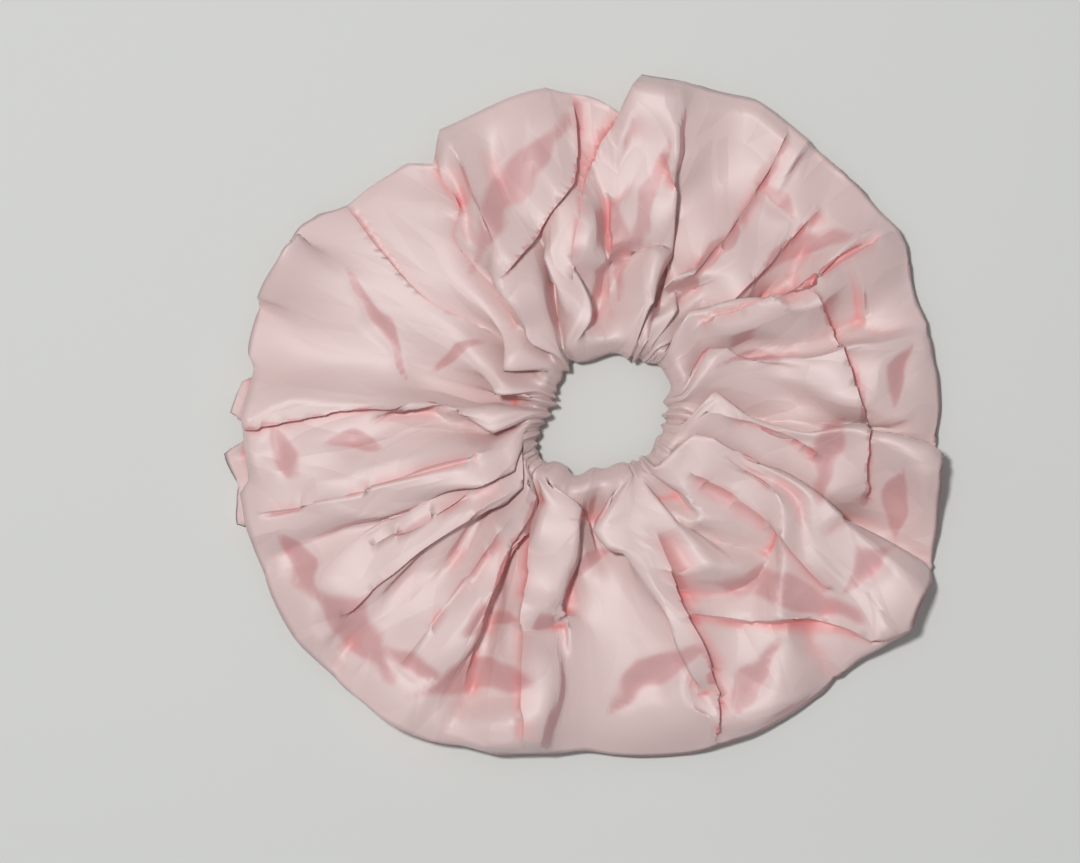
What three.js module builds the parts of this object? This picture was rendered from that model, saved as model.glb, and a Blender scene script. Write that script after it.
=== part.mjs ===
// A large satin scrunchie lying flat: one fabric sleeve, sewn into a tube and closed into a ring, gathered on a
// loop of flat elastic that runs round inside it. Millimetres, +Z up, standing on Z = 0.
// The origin is the middle of the whole outline at table level.
//
// The sleeve is one piece of cloth on the real object. Here it is cut into twelve hollow sectors, because the
// loop opens by stretching: the sectors are shared among four bodies that slide apart along X.
import * as THREE from "three";

// ---- Driving dimensions ----
const SLEEVE_HEIGHT = 24; // thickest part of the puffed ring above the table
const SLEEVE_WALL = 1.2; // two plies of satin and the air held in their creases
const SECTOR_COUNT = 12;
const SECTOR_STEPS = 4; // slices along each sector
const PART_GAP = 0.4; // clear space left between neighbouring solids
const HOLE_HALF_X = 17.3; // half width of the gathered opening
const HOLE_HALF_Y = 15.8;

const ELASTIC_RADIUS = 21.4; // inner face of the elastic, relaxed
const ELASTIC_WIDTH = 7; // stands on edge, so this is its height
const ELASTIC_THICKNESS = 1;
const ELASTIC_BASE = 4; // height of its lower edge above the table
const ELASTIC_OVERLAP = 26; // degrees by which its two ends lap
const ELASTIC_START = 167; // direction of its inner end, in degrees

const ZIGZAG_POINTS = 9;
const THREAD = 0.5; // thickness of a sewn line, thread and stitch together
const SEAM_ALLOWANCE = 6; // cloth left inside each seam
const ALLOWANCE_THICKNESS = 0.8;
const CLOSING_SEAM = 250; // direction of the seam that closes the sleeve into a ring, in degrees
const CLOSING_SPAN = 5; // degrees of the ring that its allowance covers

const ROSE = 0xe3b9b3;
const IVORY = 0xe9e4d8;
const THREAD_ROSE = 0xdaa7a3;

// Distance from the middle of the opening to the sleeve's outer edge, every 22.5 degrees, anticlockwise from +X.
// The hump just past 180 degrees is where the lower half of the sleeve pushes out beyond the upper half.
const OUTER_REACH = [89.5, 91, 92.5, 93, 88.5, 87.5, 88.5, 96.5, 102, 101.5, 98.5, 95.5, 90.5, 94, 95.5, 95.5];
const SHIFT_X = 5.8; // from the middle of the outline to the middle of the opening
const SHIFT_Y = 0.8;

// Half of a slice through the sleeve: [share of the way from opening to outer edge, share of the height].
const SLICE = [
  [0.0, 0.28], [0.015, 0.5], [0.09, 0.74], [0.3, 0.95], [0.55, 1.0], [0.76, 0.88], [0.9, 0.62], [0.98, 0.34],
  [1.0, 0.18], [0.975, 0.05], [0.9, 0.0], [0.12, 0.0], [0.05, 0.03], [0.01, 0.12],
];
const NOMINAL_REACH = 76; // width of the slice before it is fitted to the outline

const radians = THREE.MathUtils.degToRad;
const ring = new THREE.Group();
ring.position.set(SHIFT_X, SHIFT_Y, 0);

const satin = new THREE.MeshStandardMaterial({ color: ROSE, roughness: 0.38, metalness: 0 });
const knittedElastic = new THREE.MeshStandardMaterial({ color: IVORY, roughness: 0.85, metalness: 0 });
const sewingThread = new THREE.MeshStandardMaterial({ color: THREAD_ROSE, roughness: 0.6, metalness: 0 });

// ---- The outline ----

// Radius of the opening in a direction given in radians: an ellipse about the middle of the opening.
function innerReach(angle) {
  return 1 / Math.hypot(Math.cos(angle) / HOLE_HALF_X, Math.sin(angle) / HOLE_HALF_Y);
}

// Radius of the outer edge in a direction given in radians, smooth between the listed reaches.
function outerReach(angle) {
  const count = OUTER_REACH.length;
  const place = (((angle / (2 * Math.PI)) % 1) + 1) % 1 * count;
  const first = Math.floor(place);
  const share = place - first;
  const at = (n) => OUTER_REACH[(first + n + count) % count];
  const [before, from, to, after] = [at(-1), at(0), at(1), at(2)];
  const bend = 2 * before - 5 * from + 4 * to - after;
  const twist = 3 * (from - to) + after - before;
  return from + 0.5 * share * (to - before + share * (bend + share * twist));
}

// ---- Slices and how they become solids ----

// A closed outline from a list of [x, y] points.
function outline(points) {
  return points.map(([x, y]) => new THREE.Vector2(x, y));
}

// The same outline moved inwards by a distance, for outlines that run clockwise.
function inset(points, distance) {
  return points.map((point, n) => {
    const before = points.at(n - 1);
    const after = points[(n + 1) % points.length];
    const into = point.clone().sub(before).normalize();
    const out = after.clone().sub(point).normalize();
    const inward = new THREE.Vector2(into.y + out.y, -into.x - out.x).normalize();
    const square = into.y * inward.x - into.x * inward.y;
    return point.clone().addScaledVector(inward, distance / Math.max(square, 0.5));
  });
}

// A flat shape with one hole, whose edge has to run the other way round from the outline.
function frameShape(outer, inner) {
  const shape = new THREE.Shape(outer);
  shape.holes.push(new THREE.Path([...inner].reverse()));
  return shape;
}

function rectangle(left, right, bottom, top) {
  return new THREE.Shape(outline([[left, bottom], [left, top], [right, top], [right, bottom]]));
}

// Extrudes a flat shape and bends the length of the extrusion round the ring. The shape's x is turned into a
// radius by reach(x, angle, share), and its y is the height. Angles are in degrees, and share runs 0 to 1.
function bentExtrusion(shape, from, to, steps, reach) {
  const geometry = new THREE.ExtrudeGeometry(shape, { depth: 1, steps, bevelEnabled: false });
  const position = geometry.getAttribute("position");
  for (let n = 0; n < position.count; n += 1) {
    const share = 1 - position.getZ(n);
    const angle = radians(from + (to - from) * share);
    const radius = reach(position.getX(n), angle, share);
    position.setXYZ(n, radius * Math.cos(angle), radius * Math.sin(angle), position.getY(n));
  }
  return geometry;
}

// Stretches a slice's x from its nominal width to the width that the outline has in this direction.
function fitToOutline(x, angle) {
  const inner = innerReach(angle);
  return inner + (x / NOMINAL_REACH) * (outerReach(angle) - inner);
}

function add(name, geometry, material) {
  const mesh = new THREE.Mesh(geometry, material);
  mesh.name = name;
  ring.add(mesh);
}

// ---- The satin sleeve ----

const sleeveSkin = outline(SLICE.map(([across, up]) => [across * NOMINAL_REACH, up * SLEEVE_HEIGHT]));
const sleeveLining = inset(sleeveSkin, SLEEVE_WALL);

function sleeveSector(number) {
  const span = 360 / SECTOR_COUNT;
  const gap = THREE.MathUtils.radToDeg(PART_GAP / HOLE_HALF_Y) / 2;
  const wall = frameShape(sleeveSkin, sleeveLining);
  const start = number * span + gap;
  add(
    `sleeve_sector_${String(number + 1).padStart(2, "0")}`,
    bentExtrusion(wall, start, start + span - 2 * gap, SECTOR_STEPS, fitToOutline),
    satin,
  );
}

for (let number = 0; number < SECTOR_COUNT; number += 1) sleeveSector(number);

// ---- The elastic and the zigzag that joins its ends ----

// How far the elastic's second end is lifted off the first, so that it lies outside it.
function lap(share) {
  const turn = (share * (360 + ELASTIC_OVERLAP)) / 360;
  return THREE.MathUtils.smoothstep(turn, 0.9, 1) * (ELASTIC_THICKNESS + PART_GAP);
}

add(
  "elastic_band",
  bentExtrusion(
    rectangle(0, ELASTIC_THICKNESS, ELASTIC_BASE, ELASTIC_BASE + ELASTIC_WIDTH),
    ELASTIC_START,
    ELASTIC_START + 360 + ELASTIC_OVERLAP,
    64,
    (x, angle, share) => ELASTIC_RADIUS + x + lap(share),
  ),
  knittedElastic,
);

// A zigzag line of thread, drawn flat with x along the elastic and y across it, then wrapped round the lap.
function zigzag(name, radius) {
  const along = [];
  for (let n = 0; n < ZIGZAG_POINTS; n += 1) {
    const share = n / (ZIGZAG_POINTS - 1);
    along.push([share, ELASTIC_BASE + ELASTIC_WIDTH * (n % 2 ? 0.82 : 0.18)]);
  }
  const back = along.map(([x, y]) => [x, y + THREAD]).reverse();
  const geometry = new THREE.ExtrudeGeometry(new THREE.Shape(outline([...along, ...back])), {
    depth: THREAD,
    bevelEnabled: false,
  });
  const position = geometry.getAttribute("position");
  for (let n = 0; n < position.count; n += 1) {
    const angle = radians(ELASTIC_START + ELASTIC_OVERLAP * (0.08 + 0.84 * position.getX(n)));
    const out = radius + position.getZ(n);
    position.setXYZ(n, out * Math.cos(angle), out * Math.sin(angle), position.getY(n));
  }
  add(name, geometry, sewingThread);
}

zigzag("elastic_join_stitch_inner", ELASTIC_RADIUS - PART_GAP - THREAD);
zigzag("elastic_join_stitch_outer", ELASTIC_RADIUS + 2 * ELASTIC_THICKNESS + 2 * PART_GAP);

// ---- The long seam, which makes the cloth into a tube ----

// It lies on the lower side, just outside the elastic, and its allowance points outwards inside the tube.
const LINING_GAP = SLEEVE_WALL + PART_GAP; // from the sleeve's outer face to anything that lies inside it
const LONG_SEAM_RADIUS = 27;
const SEAM_CLEARANCE = 2; // degrees left on each side of the closing seam

function alongLongSeam(name, left, width, height, material) {
  const shape = rectangle(left, left + width, LINING_GAP, LINING_GAP + height);
  const start = CLOSING_SEAM + CLOSING_SPAN / 2 + SEAM_CLEARANCE;
  const end = CLOSING_SEAM + 360 - CLOSING_SPAN / 2 - SEAM_CLEARANCE;
  add(name, bentExtrusion(shape, start, end, 60, (x) => LONG_SEAM_RADIUS + x), material);
}

alongLongSeam("long_seam_stitching", 0, THREAD, THREAD, sewingThread);
alongLongSeam("long_seam_allowance", THREAD + PART_GAP, SEAM_ALLOWANCE, ALLOWANCE_THICKNESS, satin);

// ---- The closing seam, which joins the tube's two ends into a ring ----

// Both pieces line the tube's wall all the way round a slice, and the elastic passes through the middle of them.
function liningTube(name, from, span, thickness, material) {
  const shape = frameShape(inset(sleeveSkin, LINING_GAP), inset(sleeveSkin, LINING_GAP + thickness));
  add(name, bentExtrusion(shape, from, from + span, 1, fitToOutline), material);
}

const STITCH_SPAN = 0.6; // degrees, half a millimetre at the middle of the slice
const GAP_SPAN = 1.2; // degrees, the part gap at the edge of the opening
const closingStart = CLOSING_SEAM - CLOSING_SPAN / 2;
liningTube("closing_seam_stitching", closingStart, STITCH_SPAN, THREAD, sewingThread);
liningTube(
  "closing_seam_allowance",
  closingStart + STITCH_SPAN + GAP_SPAN,
  CLOSING_SPAN - STITCH_SPAN - GAP_SPAN,
  ALLOWANCE_THICKNESS,
  satin,
);

export default ring;
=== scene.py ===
# %% [markdown]
# # A satin scrunchie
#
# A scrunchie is a tube of cloth, closed into a ring and crammed onto a loop of elastic that is far shorter
# than it. Nobody models its folds: they happen because 640 mm of satin has to fit round a 120 mm loop. So
# this lesson cuts the cloth to its true size, gathers it on the elastic with Blender's cloth simulation,
# lays it flat, and then presses and creases it as a pair of hands would.
#
# The pieces are the satin sleeve, the flat elastic inside it with the zigzag that joins its ends, the
# stitches of the seam that closes the ring, and those of the long seam that makes the tube.

import math

import bpy
import numpy as np
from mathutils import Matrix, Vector


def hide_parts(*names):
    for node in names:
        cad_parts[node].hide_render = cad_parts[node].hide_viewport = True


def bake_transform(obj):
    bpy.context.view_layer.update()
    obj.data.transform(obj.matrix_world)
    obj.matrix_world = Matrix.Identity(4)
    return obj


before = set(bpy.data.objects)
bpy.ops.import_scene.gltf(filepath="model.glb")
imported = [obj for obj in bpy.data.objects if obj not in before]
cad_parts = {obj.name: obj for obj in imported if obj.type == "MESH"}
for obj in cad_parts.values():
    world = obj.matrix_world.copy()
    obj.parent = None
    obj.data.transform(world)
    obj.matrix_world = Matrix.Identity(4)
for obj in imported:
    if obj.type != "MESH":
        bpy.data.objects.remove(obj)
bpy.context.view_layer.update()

# %% [markdown]
# ## The real sizes
#
# Everything is in metres, and true to life. The elastic is the usual 7 mm flat kind. The cloth is a plain
# rectangle, and the tube is half as wide as the rectangle, because the rectangle is folded in two.

# %% Sizes
CLOTH_LENGTH = 0.640
CLOTH_WIDTH = 0.168
CLOTH_THICKNESS = 0.00018
OPENING_MIDDLE = Vector((0.0058, 0.0008, 0))
ELASTIC_HEIGHT = 0.0078
ELASTIC_TILT = math.radians(28)

# The opening is never a true circle. This is its reach from the middle every 15 degrees, in millimetres.
OPENING = [16, 16.8, 19.5, 18.6, 16.6, 16, 15.4, 15.3, 16.2, 14.2, 13.2, 13, 13.8, 17.4, 19, 17.8, 16.6, 14.8,
           12.2, 11.9, 12.9, 14.4, 14.5, 15]

# The sleeve's outline as (direction in degrees, reach in millimetres), with the small steps where folds
# end.
OUTLINE = [(8, 90), (20, 90.5), (29, 93.8), (39, 93), (52, 92.4), (64, 94.5), (75, 92), (84, 90.8),
           (86.5, 84.5), (92, 86.7), (100, 89.5), (114, 88.4), (120, 88.3), (124, 84), (140, 91.3),
           (148, 96.5), (161, 98), (172, 96.3), (182, 97.3), (193, 99), (202, 100.5), (216, 101.4),
           (234, 100.5), (242, 99.5), (256, 92.5), (267, 90.3), (287, 93.9), (307, 94.1), (317, 95.1),
           (325, 99.3), (336, 97), (346, 92.9), (356, 90.4)]

# The main folds: direction at the outer edge, direction at the opening, and the way each falls over (1 is
# anticlockwise). The two directions differ because hands twist the cloth along the elastic.
FOLDS = [(14, 18, 1), (32, 44, 1), (54, 57, -1), (76, 68, -1), (95, 116, -1), (109, 127, 1), (124, 138, 1),
         (152, 160, -1), (181, 180, 1), (200, 190, 1), (219, 201, 1), (238, 211, 1), (257, 222, 1),
         (290, 294, -1), (320, 318, -1), (345, 350, 1)]
print(f"cloth {CLOTH_LENGTH} by {CLOTH_WIDTH} m, {len(FOLDS)} main folds, outline of {len(OUTLINE)} points")

# %% [markdown]
# ## A grid that closes both ways
#
# The sleeve is a grid of COLUMNS round the ring by ROWS round the tube. Row 0 runs along the elastic, the
# next rows climb the upper side, the middle row is the outer edge, and the last ones come back underneath.
# Both ways round the grid has no end, so `np.roll` finds each point's neighbour and no edge is left open.

# %% Grid helpers
COLUMNS = 216
ROWS = 56
TURN = 2 * math.pi


def around(angles, stops, values, gain=0.0):
    """Reads values given at certain angles, at any angle. gain is what one whole turn adds."""
    stops = np.asarray(stops, float)
    values = np.asarray(values, float)
    stops = np.concatenate([[stops[-1] - TURN], stops, [stops[0] + TURN]])
    values = np.concatenate([[values[-1] - gain], values, [values[0] + gain]])
    return np.interp(angles, stops, values)


def soften(values, times):
    """Averages each value of a closed line with its neighbours."""
    for _ in range(times):
        values = (np.roll(values, 1, 0) + 2 * values + np.roll(values, -1, 0)) / 4
    return values


def grid_faces(columns, rows):
    """The four corners of each face of a grid that closes both ways, outward side up."""
    index = np.arange(columns * rows).reshape(columns, rows)
    right = np.roll(index, -1, 0)
    return np.stack([index, np.roll(index, -1, 1), np.roll(right, -1, 1), right], -1).reshape(-1, 4)


def smoothstep(low, high, x):
    t = np.clip((x - low) / (high - low), 0, 1)
    return t * t * (3 - 2 * t)


def polar(radius, angle, height):
    return np.stack([radius * np.cos(angle), radius * np.sin(angle), np.broadcast_to(height, angle.shape)], -1)


def away_from(angle, degrees):
    """How far each angle is from one direction, in radians."""
    return np.abs((angle - math.radians(degrees) + math.pi) % TURN - math.pi)


column_angle = np.arange(COLUMNS) / COLUMNS * TURN
row_share = np.arange(ROWS) / ROWS
fold_out, fold_in, fold_lean = (np.array(c, float) for c in zip(*FOLDS))
fold_out, fold_in = np.radians(fold_out), np.radians(fold_in)
print(f"a point every {CLOTH_LENGTH / COLUMNS * 1000:.1f} by {CLOTH_WIDTH / ROWS * 1000:.1f} mm of flat cloth")

# %% [markdown]
# ## The cloth before it is gathered
#
# Cloth simulation needs two shapes. The *rest* shape says how long each thread is: here a belt, which is
# the tube pressed flat and standing on edge. The *starting* shape is where the cloth begins: a shallow
# pleated cone that already has roughly the right length of cloth in its pleats. The further the start is
# from the truth, the longer the simulation has to work, so a good start is worth a little geometry.
#
# Blender's cloth solver is tuned for things the size of people. The scrunchie is simulated ten times too
# large, and shrunk back afterwards.

# %% Belt and pleated cone
SIM_SCALE = 10
LENGTH, WIDTH = CLOTH_LENGTH * SIM_SCALE, CLOTH_WIDTH * SIM_SCALE
BELT_RADIUS = LENGTH / TURN
PLY_GAP = 0.02
CASING_ROWS = range(-2, 3)

PLY_TAPER = 0.08
from_elastic = np.minimum(row_share, 1 - row_share) * WIDTH
ply = np.where(row_share <= 0.5, 1.0, -1.0) * PLY_GAP
ply = ply * np.clip(np.minimum(from_elastic, WIDTH / 2 - from_elastic) / PLY_TAPER, 0, 1)


def belt():
    """The tube pressed flat, as a belt that stands on edge."""
    angle, up = np.meshgrid(column_angle, from_elastic, indexing="ij")
    return polar(BELT_RADIUS + ply[None, :], angle, up)


DEEPEST_PLEAT = 0.26
PLEAT_NOISE = 0.006
START_HEIGHT = 0.09


def pleated(radius, slope, seed=3):
    """The tube as a cone of pleats, given the radius of its inner edge and its slope to the table."""
    noise = np.random.default_rng(seed).standard_normal((COLUMNS, 1)) * PLEAT_NOISE
    across = radius + from_elastic * math.cos(slope)
    turns = around(column_angle, fold_out, np.arange(len(FOLDS)) * TURN, len(FOLDS) * TURN)
    pleat_rate = soften(np.diff(np.append(turns, turns[0] + len(FOLDS) * TURN)), 4) * COLUMNS / TURN
    lean = soften(around(column_angle, fold_out, fold_lean), 3)[:, None]
    excess = np.sqrt(np.maximum(BELT_RADIUS / across, 1.0001) ** 2 - 1)[None, :]
    depth = np.minimum(TURN * across[None, :] / pleat_rate[:, None] / 4 * excess * 0.9, DEEPEST_PLEAT)
    wave = depth * np.cos(turns)[:, None] + noise
    angle = column_angle[:, None] + np.maximum(wave, 0) * lean / across[None, :]
    out = across[None, :] - (ply[None, :] + wave) * math.sin(slope)
    up = START_HEIGHT + from_elastic[None, :] * math.sin(slope) + (ply[None, :] + wave) * math.cos(slope)
    return polar(out, angle, up)


LOOSE_RADIUS = 0.42
cone_slope = math.acos((BELT_RADIUS * 0.93 - LOOSE_RADIUS) / (WIDTH / 2))
print(f"belt radius {BELT_RADIUS:.2f}, cone slope {math.degrees(cone_slope):.0f} degrees")

# %% [markdown]
# ## The casing
#
# The five rows nearest the elastic are not left to the simulation. They wrap round the elastic in a C and
# ripple with the fine gathers that every scrunchie has at its opening. The same formula gives them at the
# loose start and at the tight end, and the simulation carries them from one to the other.

# %% Casing rows
CASING_HALF_LONG, CASING_HALF_THICK, CASING_HEIGHT = 0.044, 0.018, ELASTIC_HEIGHT * SIM_SCALE
CASING_WRAP = 38  # degrees from one row to the next, round the elastic
GATHERS = 24
GATHER_PUFF = 0.024


def opening_reach(angle):
    """How far the opening's edge is from its middle, at simulation scale."""
    reach = around(angle % TURN, np.radians(np.arange(24) * 15), OPENING) / 1000 * SIM_SCALE
    return soften(reach, 6)


def casing(angle, radius, row):
    """One row of the casing, for a loop whose elastic lies at that radius."""
    turn = math.radians(CASING_WRAP) * row
    uneven = 1.6 * np.sin(2 * column_angle + 0.7) + 1.2 * np.sin(5 * column_angle)
    uneven = uneven + 0.9 * np.sin(9 * column_angle + 2)
    ripple = 0.5 + 0.5 * np.cos(column_angle * GATHERS + uneven)
    swell = 0.62 + 0.26 * np.sin(4 * column_angle + 2) + 0.22 * np.sin(7 * column_angle + 1)
    puff = ripple * GATHER_PUFF * swell
    along = (CASING_HALF_LONG + puff) * math.sin(turn)
    inward = (CASING_HALF_THICK + puff) * math.cos(turn)
    out = radius + along * math.sin(ELASTIC_TILT) - inward * math.cos(ELASTIC_TILT)
    return polar(out, angle, CASING_HEIGHT + along * math.cos(ELASTIC_TILT) + inward * math.sin(ELASTIC_TILT))


def gathered_angles():
    return around(column_angle, fold_out, fold_in, TURN)


def with_casing(points, angle, radius):
    points = points.copy()
    for row in CASING_ROWS:
        points[:, row % ROWS] = casing(angle, radius, row)
    points[..., 2] = np.maximum(points[..., 2], 0.015)
    return points


ELASTIC_SET_BACK = 0.040
tight_angle = gathered_angles()
tight_radius = opening_reach(tight_angle) + ELASTIC_SET_BACK
print("loop radius when tight", tight_radius.min().round(3), "to", tight_radius.max().round(3))

# %% [markdown]
# ## Gathering and laying flat
#
# The casing rows are pinned to a shape key that pulls them in to the tight loop. Meanwhile a lid comes
# down, like a hand that pats the scrunchie flat. The satin is fairly stiff (`bending_stiffness`), which
# gives a few broad panels and sharp folds. A softer cloth would give many small round wrinkles.

# %% Cloth settings
FRAMES = 70
TIGHT_FRAME, LID_STARTS, LID_DOWN = 42, 10, 56
LID_HEIGHT, LID_CLEARANCE = 0.18, 0.08
SATIN_STIFFNESS = 6.0
CONTACT_DISTANCE = 0.01
CLOTH_FRICTION = 5


def press_plate(height, upside_down=False):
    """A large plate that cloth can't pass."""
    bpy.ops.mesh.primitive_plane_add(size=8, location=(0, 0, height))
    plate = bpy.context.object
    plate.rotation_euler.x = math.pi if upside_down else 0
    plate.modifiers.new("Collision", "COLLISION")
    plate.collision.thickness_outer = CONTACT_DISTANCE
    plate.collision.cloth_friction = CLOTH_FRICTION
    return plate


def set_up_cloth(sleeve, rest_key):
    modifier = sleeve.modifiers.new("Cloth", "CLOTH")
    cloth, contact = modifier.settings, modifier.collision_settings
    cloth.rest_shape_key = rest_key
    cloth.vertex_group_mass = "pinned"
    cloth.quality = 6
    cloth.mass = 0.2
    cloth.air_damping = 1.5
    cloth.tension_stiffness = cloth.compression_stiffness = 30
    cloth.shear_stiffness = 10
    cloth.bending_stiffness = SATIN_STIFFNESS
    contact.use_self_collision = True
    contact.self_distance_min = contact.distance_min = CONTACT_DISTANCE
    contact.self_friction = CLOTH_FRICTION
    modifier.point_cache.frame_start = 1
    modifier.point_cache.frame_end = FRAMES


print("bending stiffness", SATIN_STIFFNESS, "over", FRAMES, "frames")

# %% [markdown]
# A shape key moves the pinned rows from the loose loop to the tight one. The simulation steps through its
# frames, and only the last of them is kept.

# %% Simulation
def gather_cloth():
    """Simulates the sleeve being gathered and pressed, and returns its points as a grid, in metres."""
    start = with_casing(pleated(LOOSE_RADIUS, cone_slope), column_angle, np.full(COLUMNS, LOOSE_RADIUS))
    tight = with_casing(start, tight_angle, tight_radius)
    mesh = bpy.data.meshes.new("gathering")
    mesh.from_pydata(start.reshape(-1, 3).tolist(), [], grid_faces(COLUMNS, ROWS).tolist())
    sleeve = bpy.data.objects.new("gathering", mesh)
    bpy.context.scene.collection.objects.link(sleeve)
    sleeve.shape_key_add(name="start")
    keys = {}
    for name, points in (("rest", belt()), ("tight", tight)):
        keys[name] = sleeve.shape_key_add(name=name)
        keys[name].data.foreach_set("co", points.ravel())
    for value, when in ((0, 1), (1, TIGHT_FRAME)):
        keys["tight"].value = value
        keys["tight"].keyframe_insert("value", frame=when)
    pinned = np.arange(COLUMNS * ROWS).reshape(COLUMNS, ROWS)[:, [row % ROWS for row in CASING_ROWS]]
    sleeve.vertex_groups.new(name="pinned").add(pinned.ravel().tolist(), 1.0, "REPLACE")
    set_up_cloth(sleeve, keys["rest"])

    table = press_plate(0)
    lid = press_plate(float(start[..., 2].max()) + LID_CLEARANCE, upside_down=True)
    lid.keyframe_insert("location", frame=LID_STARTS)
    lid.location.z = LID_HEIGHT
    lid.keyframe_insert("location", frame=LID_DOWN)

    bpy.context.scene.frame_start, bpy.context.scene.frame_end = 1, FRAMES
    for moment in range(1, FRAMES + 1):
        bpy.context.scene.frame_set(moment)
    settled = sleeve.evaluated_get(bpy.context.evaluated_depsgraph_get())
    points = np.empty(COLUMNS * ROWS * 3, np.float32)
    settled.data.vertices.foreach_get("co", points)
    for used in (sleeve, table, lid):
        bpy.data.objects.remove(used)
    bpy.context.scene.frame_set(1)
    return points.astype(float).reshape(COLUMNS, ROWS, 3) / SIM_SCALE


sleeve_points = gather_cloth()
print("gathered", sleeve_points.reshape(-1, 3).min(0).round(3), sleeve_points.reshape(-1, 3).max(0).round(3))

# %% [markdown]
# ## Finer cloth
#
# The simulated grid has a point every 3 mm, and creases need more. Each pass below puts a point between
# every two, and rounds the old ones a little. It is what a Subdivision Surface modifier does, but the
# points stay in their columns and rows, and the next steps rely on that.

# %% Subdividing
def finer(points, axis):
    before, after = np.roll(points, 1, axis), np.roll(points, -1, axis)
    kept = (before + 6 * points + after) / 8
    added = (points + after) / 2
    shape = list(points.shape)
    shape[axis] *= 2
    return np.stack([kept, added], axis + 1).reshape(shape)


sleeve_points = finer(finer(sleeve_points, 0), 1)
FINE_COLUMNS, FINE_ROWS = sleeve_points.shape[:2]
fine_share = np.arange(FINE_ROWS) / FINE_ROWS
upper_side = smoothstep(0.05, 0.10, fine_share) * smoothstep(0.5, 0.47, fine_share)
print("fine grid", FINE_COLUMNS, "by", FINE_ROWS)

# %% [markdown]
# ## Crisp facets
#
# Satin of this sort is crisp: between its creases the cloth is nearly flat. The filter below works like a
# portrait-smoothing filter, but on directions instead of colours. Each face averages its direction only
# with neighbours that already point nearly the same way, so flat parts get flatter and sharp creases stay
# sharp. Then the points move to suit the new directions.

# %% Facet filter
def face_directions(points):
    """The unit direction of each grid face, outwards."""
    a, b = points, np.roll(points, -1, 0)
    c, d = np.roll(b, -1, 1), np.roll(a, -1, 1)
    direction = np.cross(c - a, b - d)
    return direction / np.maximum(np.linalg.norm(direction, axis=-1, keepdims=True), 1e-12)


def face_middles(points):
    pairs = points + np.roll(points, -1, 0)
    return (pairs + np.roll(pairs, -1, 1)) / 4


def facet(points, passes, likeness):
    """Flattens the cloth between its creases. likeness is how far two directions may differ and still mix."""
    direction = face_directions(points)
    for _ in range(passes):
        total = direction.copy()
        for step in ((1, 0), (-1, 0), (0, 1), (0, -1), (1, 1), (1, -1), (-1, 1), (-1, -1)):
            other = np.roll(direction, step, (0, 1))
            apart = ((direction - other) ** 2).sum(-1, keepdims=True)
            total += np.exp(-apart / (2 * likeness**2)) * other
        direction = total / np.maximum(np.linalg.norm(total, axis=-1, keepdims=True), 1e-12)
    points = points.copy()
    for _ in range(12):
        move = np.zeros_like(points)
        middle = face_middles(points)
        for step in ((0, 0), (1, 0), (0, 1), (1, 1)):
            normal = np.roll(direction, step, (0, 1))
            offset = np.roll(middle, step, (0, 1)) - points
            move += normal * (normal * offset).sum(-1, keepdims=True)
        points += move / 4
    return points


def outward_total(points):
    """The sum of the directions of the four faces round each point."""
    direction = face_directions(points)
    return sum(np.roll(direction, step, (0, 1)) for step in ((0, 0), (1, 0), (0, 1), (1, 1)))


away_from_casing = smoothstep(0.03, 0.09, np.minimum(fine_share, 1 - fine_share))[None, :, None]
before = sleeve_points
sleeve_points = before + away_from_casing * (facet(before, 5, 0.22) - before)
print(f"facets moved the cloth by up to {np.abs(sleeve_points - before).max() * 1000:.1f} mm")

# %% [markdown]
# ## The true outline
#
# The simulation gives a nearly round ring. Real ones are lopsided, so each point slides out or in along its
# own direction until the edge lies on the wanted outline. The slide fades out towards the elastic. All
# points in one place slide alike, the upper cloth and the lower, so the cloth never passes through itself.

# %% Fitting the outline
def plan(points):
    """Each point's direction and distance from the middle of the opening."""
    return np.arctan2(points[..., 1], points[..., 0]) % TURN, np.hypot(points[..., 0], points[..., 1])


def reach_now(points, bins=120):
    """How far the cloth reaches in each of many directions."""
    angle, distance = plan(points)
    place = (angle / TURN * bins).astype(int) % bins
    reach = np.zeros(bins)
    np.maximum.at(reach, place.ravel(), distance.ravel())
    return soften(reach, 1)


FIXED_REACH = 0.028


def fit_outline(points):
    """Slides the cloth beyond FIXED_REACH out or in, until its edge lies on OUTLINE."""
    angle, distance = plan(points)
    reach = reach_now(points)
    middles = (np.arange(len(reach)) + 0.5) / len(reach) * TURN
    now = around(angle, middles, reach)
    stops, wanted = (np.array(c, float) for c in zip(*OUTLINE))
    want = around(angle, np.radians(stops), wanted / 1000)
    share = np.clip((distance - FIXED_REACH) / (now - FIXED_REACH), 0, None)
    share = np.where(share < 1, share * share * (3 - 2 * share), 1)
    scale = (distance + (want - now) * share) / distance
    fitted = points.copy()
    fitted[..., :2] *= scale[..., None]
    return fitted


sleeve_points = fit_outline(sleeve_points)
print("reach", reach_now(sleeve_points).round(4)[::10])

# %% [markdown]
# ## Ironing
#
# Some panels of the real sleeve hang smooth, with all their spare cloth pushed into the folds beside them.
# Ironing moves each point of such a panel to the middle of its neighbours, over and over. The upper and the
# lower cloth are ironed together, so that they stay apart.

# %% Ironing
# Each smooth panel: direction of its middle, half its spread, its nearest and farthest reach, and the
# passes.
SMOOTH_PANELS = [
    (152, 24, 0.034, 0.090, 300),
    (181, 11, 0.058, 0.100, 140),
    (188, 8, 0.034, 0.094, 60),
    (222, 30, 0.040, 0.094, 26),
    (274, 13, 0.040, 0.086, 90),
    (8, 22, 0.034, 0.062, 60),
    (104, 10, 0.050, 0.086, 40),
    (55, 17, 0.046, 0.084, 30),
    (300, 10, 0.060, 0.088, 40),
]


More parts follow.
